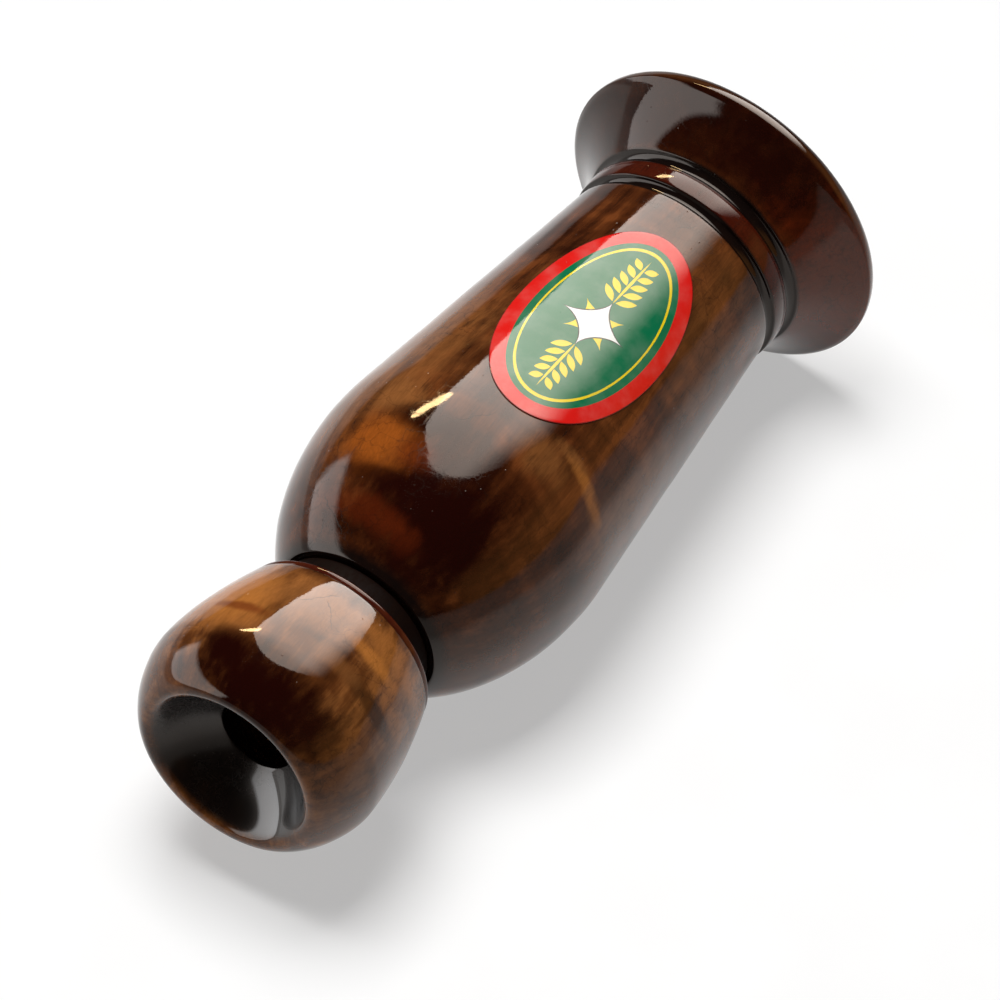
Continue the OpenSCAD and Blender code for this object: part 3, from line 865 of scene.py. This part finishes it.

# %% [markdown]
# The neck behind the bead is painted dead black as shade, since it lies deep in the gap before the barrel,
# and it has no lacquer. A second material on the same mesh gives it this painted shade, and the rings of the
# outline say where.

# %% Neck painted as shade
NECK_SHADE_BLACK, NECK_SPECULAR, NECK_MARGIN = (0.008, 0.003, 0.0016, 1), 0.02, 0.5
neck_shade, shader, point = start_material("neck_painted_shade")
shade_mottle = noise(point, (0.8, 2, 2), detail=3)
# Painted shade: the neck's near-black colour stands for the shade in the gap between the bead and the barrel.
plug(shader, {"Base Color": mix_colour(shade_mottle, BURNT_AND_SHADE, NECK_SHADE_BLACK), "Roughness": ease(shade_mottle, 0.3, 0.7, 0.5, 0.7),
              "Specular IOR Level": NECK_SPECULAR})
knob.data.materials.append(neck_shade)
ring_r, ring_place = mouthpiece_rings.T
on_neck = (ring_r > tenon_r + NECK_MARGIN) & (ring_r < bead_line_r)
on_neck &= ring_place > knob_length + bead_width / 2
knob.data.polygons.foreach_set("material_index", np.repeat(on_neck, SEGMENTS).astype(np.int32))
print("neck rings:", int(on_neck.sum()))

# %% [markdown]
# ## Label
# An oval label is stuck on the taper and lacquered over. It is a thin shell that follows the barrel,
# so it is worked out in the same places and turns as the barrel: a flat oval, wrapped around the taper,
# with a rolled edge and an underside. Its own map of the flat oval carries the print.

# %% Label shape
label_middle, label_half_length = (label_first + label_last) / 2, (label_last - label_first) / 2
label_half_width, label_turn, glue, label_thickness = 10.1, 17.0, 0.03, 0.12
LABEL_RINGS, LABEL_SEGMENTS = 30, 160


def taper_radius(place_s):
    """Radius of the straight taper, which runs evenly from its start to the first groove."""
    return taper_start_r + (taper_end_r - taper_start_r) * (place_s - taper_start) / (taper_end - taper_start)


def oval_shell(rings, segments):
    """Flat places on the oval and heights over the barrel, by rings: top, rolled edge, then underside."""
    edge = np.linspace(0, math.pi, 9)
    rolled = label_thickness / 2
    rising = np.linspace(0, 1, rings)[1:-1]
    share = np.concatenate([rising, 1 - (1 - np.sin(edge)) * rolled / label_half_width,
                            np.linspace(1, 0, rings)[1:-1]])
    height = np.concatenate([np.full(rings - 2, glue + label_thickness), glue + rolled * (1 + np.cos(edge)),
                             np.full(rings - 2, glue)])
    around = np.linspace(0, 2 * math.pi, segments, endpoint=False)
    along = (share[:, None] * np.cos(around) * label_half_length).ravel()
    across = (share[:, None] * np.sin(around) * label_half_width).ravel()
    ends = np.zeros(2)
    return (np.append(along, ends), np.append(across, ends),
            np.append(np.repeat(height, segments), [glue + label_thickness, glue]), len(share))


def wrap_on_taper(along, across, height):
    """The flat oval wrapped on the taper: across becomes a turn, and the height is added to the radius."""
    place_s = label_middle + along
    flat_r = taper_radius(label_middle)
    turn = math.radians(label_turn) + np.arcsin(flat_r * np.sin(across / flat_r) / taper_radius(place_s))
    return around_axis(taper_radius(place_s) + lacquer_ripple(place_s, turn) + height, place_s, turn)


def fan(centre, ring, flip):
    """Triangles from one point to each side of a ring of points."""
    sides = np.stack([np.full(len(ring), centre), ring, np.roll(ring, -1)], 1)
    return sides[:, ::-1] if flip else sides


along, across, height, label_rows = oval_shell(LABEL_RINGS, LABEL_SEGMENTS)
first_ring = np.arange(LABEL_SEGMENTS)
last_ring = first_ring + (label_rows - 1) * LABEL_SEGMENTS
label_faces = [grid_faces(label_rows, LABEL_SEGMENTS, False, True, flip=True),
               fan(label_rows * LABEL_SEGMENTS, first_ring, True),
               fan(label_rows * LABEL_SEGMENTS + 1, last_ring, False)]
print("label is %.1f by %.1f mm" % (2 * label_half_length, 2 * label_half_width))

# %% [markdown]
# The print is a plain ornament of the label's own: a red border, a green field, a fine yellow line,
# a white star over a small yellow one in the middle, and a spray of yellow leaves on each side.
# Each shape is a mask from a formula on the flat map, and one leaf is a group that is placed again and again.

# %% Print shapes
PRINT_BLUR, STAR_POWER = 0.03, 0.62


def make_leaf_group():
    """A leaf: a lens of a length and a width about a centre, turned by an angle. It is 1 inside."""
    takes = {"Spot": "vector", "Centre": "vector", "Angle": "value", "Length": "value", "Width": "value"}
    tree, entry, leave = start_group("printed_leaf", takes, {"Mask": "value"})
    spot = parts_of(turned_flat(entry["Spot"] - entry["Centre"], entry["Angle"], invert=True))
    along = spot["X"] / (entry["Length"] * 0.5)
    inside = (1.0 - along * along) * (entry["Width"] * 0.5) - abs(spot["Y"])
    plug(leave, {"Mask": ease(inside, -PRINT_BLUR, PRINT_BLUR)})
    return tree


printed_leaf = make_leaf_group()


def oval_distance(spot, half_length, half_width):
    """How far a spot lies from the middle of an oval, with 1 on the oval itself."""
    return (spot / (half_length, half_width, 1)).do("LENGTH")


def star_mask(folded, reach):
    """A four-pointed star: x ** p + y ** p is less than reach ** p, and the power p is less than 1."""
    sides, edge = parts_of(folded), reach ** STAR_POWER
    total = sides["X"].do("POWER", STAR_POWER) + sides["Y"].do("POWER", STAR_POWER)
    return ease(total, edge - PRINT_BLUR, edge + PRINT_BLUR, 1.0, 0.0)


print("group:", printed_leaf.name)

# %% [markdown]
# The shapes are laid over each other like inks on a press, from the border to the star.
# Age has faded the print a little in clouds, and a thin painted shadow darkens its edge. The lacquer goes on
# last.

# %% Label finish
PRINT_RED, PRINT_GREEN = (0.68, 0.012, 0.009, 1), (0.003, 0.15, 0.06, 1)
PRINT_YELLOW, PRINT_WHITE, PRINT_INK = (0.85, 0.62, 0.01, 1), (0.85, 0.86, 0.82, 1), (0.008, 0.014, 0.01, 1)
FADED, LABEL_EDGE_SHADOW = (0.5, 0.5, 0.45, 1), (0.05, 0.004, 0.003, 1)
FIELD_HALF, LINE_HALF = (15.3, 8.0), (14.2, 6.9)
LEAVES, LEAF_ANGLE, LEAF_WIDTH = 5, math.radians(48), 0.95
STEM = {"Centre": (8.4, 0, 0), "Angle": 0.0, "Length": 9.0, "Width": 0.36}
label_print, shader, point = start_material("label_print")
flat = add(label_print.node_tree, "ShaderNodeUVMap", uv_map="label_map")[0]
spot = (flat - (0.5, 0.5, 0)) * (2 * label_half_length, 2 * label_half_width, 0)
folded = abs(spot)
field = ease(oval_distance(spot, *FIELD_HALF), 0.995, 1.005, 1.0, 0.0)
line = ease(abs(oval_distance(spot, *LINE_HALF) - 1.0), 0.014, 0.022, 1.0, 0.0)
leaves = [use(printed_leaf, folded, Centre=(5.4 + 1.55 * k, 1.25 - 0.08 * k, 0), Angle=LEAF_ANGLE,
              Length=2.7 - 0.22 * k, Width=LEAF_WIDTH)["Mask"] for k in range(LEAVES)]
colour = mix_colour(field, PRINT_RED, PRINT_GREEN)
for shape in (line, *leaves, use(printed_leaf, folded, **STEM)["Mask"]):
    colour = mix_colour(shape, colour, PRINT_YELLOW)
slanted = abs(turned_flat(spot, math.pi / 4))
for place, reach, ink in ((slanted, 3.9, PRINT_YELLOW), (folded, 4.6, PRINT_INK), (folded, 4.2, PRINT_WHITE)):
    colour = mix_colour(star_mask(place, reach), colour, ink)
clouds = noise(point, 0.25, detail=4)
colour = mix_colour(ease(clouds, 0.4, 0.75, 0.0, 0.12), colour, FADED)
# Painted shadow: a thin dark line along the edge of the label.
rim = ease(oval_distance(spot, label_half_length, label_half_width), 0.985, 0.998)
plug(shader, {"Base Color": stain(colour, rim, 0.8, LABEL_EDGE_SHADOW)})
lacquer(shader, point, clouds * 0.1)
print("label finish:", len(label_print.node_tree.nodes), "nodes")

# %% [markdown]
# A mesh keeps its map per corner of a face, so each corner gets the flat place of the point it stands on.

# %% Label piece
label = make_piece("label_oval", wrap_on_taper(along, across, height), label_faces, "barrel", "label",
                   "label_vinyl", label_print)
corner_points = np.empty(len(label.data.loops), np.int32)
label.data.loops.foreach_get("vertex_index", corner_points)
flat_map = np.stack([along / label_half_length, across / label_half_width], 1) / 2 + 0.5
label_map = label.data.uv_layers.new(name="label_map")
label_map.data.foreach_set("uv", flat_map[corner_points].astype(np.float32).ravel())
print("label map:", len(corner_points), "corners")

# %% [markdown]
# ## Seal rings
# Two rubber rings sit in the grooves of the tenon. A ring is a circle carried around the axis,
# and moulded rubber keeps a fine line where the two halves of its mould met,
# so the circle has two tiny ridges.

# %% Rubber finish and rings
RUBBER_BLACK, RUBBER_GREY, RUBBER_BUMP = (0.012, 0.012, 0.013, 1), (0.035, 0.034, 0.033, 1), 8e-6
RIDGE_HEIGHT, RIDGE_WIDTH, SMALL_SEGMENTS = 0.012, 0.12, 128
rubber, shader, point = start_material("seal_rubber")
bloom = noise(point, 0.6, detail=4)
plug(shader, {"Base Color": mix_colour(ease(bloom, 0.35, 0.7), RUBBER_BLACK, RUBBER_GREY),
              "Roughness": ease(bloom, 0.3, 0.7, 0.42, 0.62)})
bump(shader, noise(point, 6), RUBBER_BUMP)


def ring_outline(first, last):
    """A circle of radius and place, with a fine ridge at its outermost and innermost points."""
    turn = np.linspace(0, 2 * math.pi, 72, endpoint=False)
    section = (last - first) / 2
    ridged = section - RIDGE_HEIGHT + RIDGE_HEIGHT * np.exp(-(np.sin(turn) / RIDGE_WIDTH) ** 2)
    return np.stack([ring_outer_r - section + ridged * np.cos(turn),
                     (first + last) / 2 + ridged * np.sin(turn)], 1)


for name, first, last in (("front", front_ring_first, front_ring_last),
                          ("rear", rear_ring_first, rear_ring_last)):
    turn_piece(name + "_ring_rubber", ring_outline(first, last), SMALL_SEGMENTS,
               "seal_rings", name + "_seal_ring", "seal_rubber", rubber)

# %% [markdown]
# ## Reed
# The voice of the call is a closed reed: a brass trough with a springy tongue over its open side,
# held in a collar by a small wooden wedge. Brass from a lathe has fine lines around it, and drawn or rolled
# brass has lines along it, so one group makes both from the way that its noise is stretched.

# %% Brass finish
BRASS_BUMP = 2e-6


def make_metal_group():
    """Tarnish, roughness and height of worked metal from noise that is stretched across its tool lines."""
    gives = {"Tarnish": "value", "Roughness": "value", "Height": "value"}
    tree, entry, leave = start_group("worked_metal", {"Point": "vector", "Lines": "vector"}, gives)
    lines = noise(entry["Point"], entry["Lines"], detail=3)
    cloud = noise(entry["Point"], 0.25, detail=4)
    plug(leave, {"Tarnish": ease(cloud, 0.4, 0.75), "Roughness": cloud * 0.25 + lines * 0.15 + 0.08,
                 "Height": lines})
    return tree


worked_metal = make_metal_group()


def brass(name, bright, dull, lines):
    """Brass with a bright and a dull tone, and tool lines by their number per millimetre along X, Y and Z."""
    material, shader, point = start_material(name)
    metal = use(worked_metal, point, Lines=lines)
    plug(shader, {"Base Color": mix_colour(metal["Tarnish"], bright, dull), "Roughness": metal["Roughness"],
                  "Metallic": 1.0})
    bump(shader, metal["Height"], BRASS_BUMP)
    return material


turned_brass = brass("collar_brass", (0.80, 0.58, 0.26, 1), (0.50, 0.32, 0.13, 1), (9, 0.1, 0.1))
drawn_brass = brass("trough_brass", (0.78, 0.57, 0.27, 1), (0.48, 0.31, 0.14, 1), (0.15, 7, 7))
spring_brass = brass("tongue_brass", (0.84, 0.65, 0.34, 1), (0.60, 0.42, 0.2, 1), (0.1, 9, 9))
print("brass finishes:", turned_brass.name, drawn_brass.name, spring_brass.name)

# %% [markdown]
# The collar is turned like the rest: a sleeve with a flange that stops it at the end of the tenon.

# %% Reed collar
collar_r, collar_wall, flange_thickness = air_hole_r - 0.03, 0.8, 1.2
COLLAR_SOFTNESS, COLLAR_RINGS = 0.06, 96
collar_bore_r, flange_start = collar_r - collar_wall, flange_end - flange_thickness
collar_outline = soft_outline(np.array([
    [collar_bore_r, collar_start], [collar_r, collar_start], [collar_r, flange_start],
    [flange_r, flange_start], [flange_r, flange_end], [collar_bore_r, flange_end],
]), COLLAR_SOFTNESS, COLLAR_RINGS)
turn_piece("reed_collar_turned", collar_outline, SMALL_SEGMENTS, "mouthpiece", "reed_collar", "reed_brass",
           turned_brass)

# %% [markdown]
# The trough is an outline carried half way around and closed by its flat rim.
# Its edges, like those of the wedge and the tongue, are broken by a fine bevel, as a file would do.

# %% Reed trough
SHARP_ANGLE = math.radians(35)
trough_wall, trough_segments, trough_filing = 0.75, 65, 0.08
trough_bore_r = trough_r - trough_wall


def file_edges(piece, width):
    """Breaks the sharp edges of a piece with a fine bevel."""
    piece.data.set_sharp_from_angle(angle=SHARP_ANGLE)
    bevel = piece.modifiers.new("filed_edges", "BEVEL")
    bevel.width, bevel.segments = width * MM, 2
    bevel.limit_method, bevel.angle_limit = "ANGLE", SHARP_ANGLE
    bevel.harden_normals = True


def half_turned(outline, segments):
    """An outline that starts and ends on the axis, carried around the lower half, with a flat rim."""
    inner = outline[1:-1]
    turn = np.linspace(math.pi / 2, 3 * math.pi / 2, segments)[None, :]
    shell = around_axis(inner[:, :1], inner[:, 1:], turn).reshape(-1, 3)
    ends = around_axis(outline[[0, -1], 0], outline[[0, -1], 1], np.zeros(2))
    count = len(inner) * segments
    rows = np.arange(len(inner)) * segments
    first_row, last_row = np.arange(segments), rows[-1] + np.arange(segments)
    caps = [np.stack([np.full(segments - 1, count), first_row[:-1], first_row[1:]], 1)[:, ::-1],
            np.stack([np.full(segments - 1, count + 1), last_row[:-1], last_row[1:]], 1)]
    rim = np.concatenate([[count], rows, [count + 1], rows[::-1] + segments - 1])[None, :]
    return np.vstack([shell, ends]), [grid_faces(len(inner), segments, False, False, flip=True), *caps, rim]


trough_outline = np.array([
    [0, trough_start], [trough_r, trough_start], [trough_r, trough_end], [trough_bore_r, trough_end],
    [trough_bore_r, trough_start + trough_wall], [0, trough_start + trough_wall]])
trough = make_piece("reed_trough_drawn", *half_turned(trough_outline, trough_segments), "mouthpiece",
                    "reed_trough", "reed_brass", drawn_brass)
file_edges(trough, trough_filing)

# %% [markdown]
# The wedge is a slice of a wooden rod, so its section is the part of a circle above a line.
# It is bare wood, of a lighter kind, and uses the same grain group with other tones.

# %% Reed wedge
wedge_filing, wedge_flecks = 0.1, 0.3


def swept_bar(sections):
    """Closed sections in a row along the axis, joined by faces and closed at both ends."""
    rows, columns = sections.shape[:2]
    ends = [np.arange(columns)[None, :], (np.arange(columns)[::-1] + (rows - 1) * columns)[None, :]]
    return sections.reshape(-1, 3), [grid_faces(rows, columns, False, True), *ends]


wedge_wood, shader, point = start_material("wedge_bare_wood")
grain = use(wood_grain, point, Dark=(0.3, 0.19, 0.09, 1), Middle=(0.42, 0.28, 0.14, 1),
            Light=(0.55, 0.4, 0.22, 1))
plug(shader, {"Base Color": fleck_wood(grain["Color"], grain, wedge_flecks),
              "Roughness": ease(grain["Pores"], 0.0, 1.0, 0.55, 0.8)})
wedge_turn = np.linspace(1, -1, 49) * math.acos(lowest_height("reed_wedge") / trough_r)
wedge_ends = [around_axis(trough_r, place_s, wedge_turn) for place_s in (wedge_start, wedge_end)]
wedge = make_piece("reed_wedge_cut", *swept_bar(np.stack(wedge_ends)), "mouthpiece", "reed_wedge",
                   "wedge_wood", wedge_wood)
file_edges(wedge, wedge_filing)

# %% [markdown]
# The tongue is a flat strip of spring brass. Its section is carried along a gentle curve that rises from the
# clamped root to the tip, and the strip narrows in a quarter circle on each side of the tip.

# %% Reed tongue
tongue_thickness, tongue_tip_lift, tip_rounding, tongue_filing = 0.25, 1.0, 1.6, 0.03
tongue_root = wedge_start
toward_tip = np.linspace(0, 1, 61) ** 0.8
tongue_along = np.concatenate([[tongue_root_end], tongue_root + (tongue_tip - tongue_root) * toward_tip])
bent = np.clip((tongue_root - tongue_along) / (tongue_root - tongue_tip), 0, 1)
lift = lowest_height("reed_tongue") + tongue_tip_lift * bent ** 2
from_tip = np.clip(1 - (tongue_along - tongue_tip) / tip_rounding, 0, 1)
half_width = tongue_half_width - tip_rounding * (1 - np.sqrt(1 - from_tip ** 2))
side, level = np.array([-1, 1, 1, -1]), np.array([0, 0, 1, 1])
tongue_sections = np.stack(np.broadcast_arrays(
    tongue_along[:, None], half_width[:, None] * side, lift[:, None] + level * tongue_thickness), -1)
tongue = make_piece("reed_tongue_rolled", *swept_bar(tongue_sections), "reed_tongue", "reed_tongue",
                    "tongue_brass", spring_brass)
file_edges(tongue, tongue_filing)
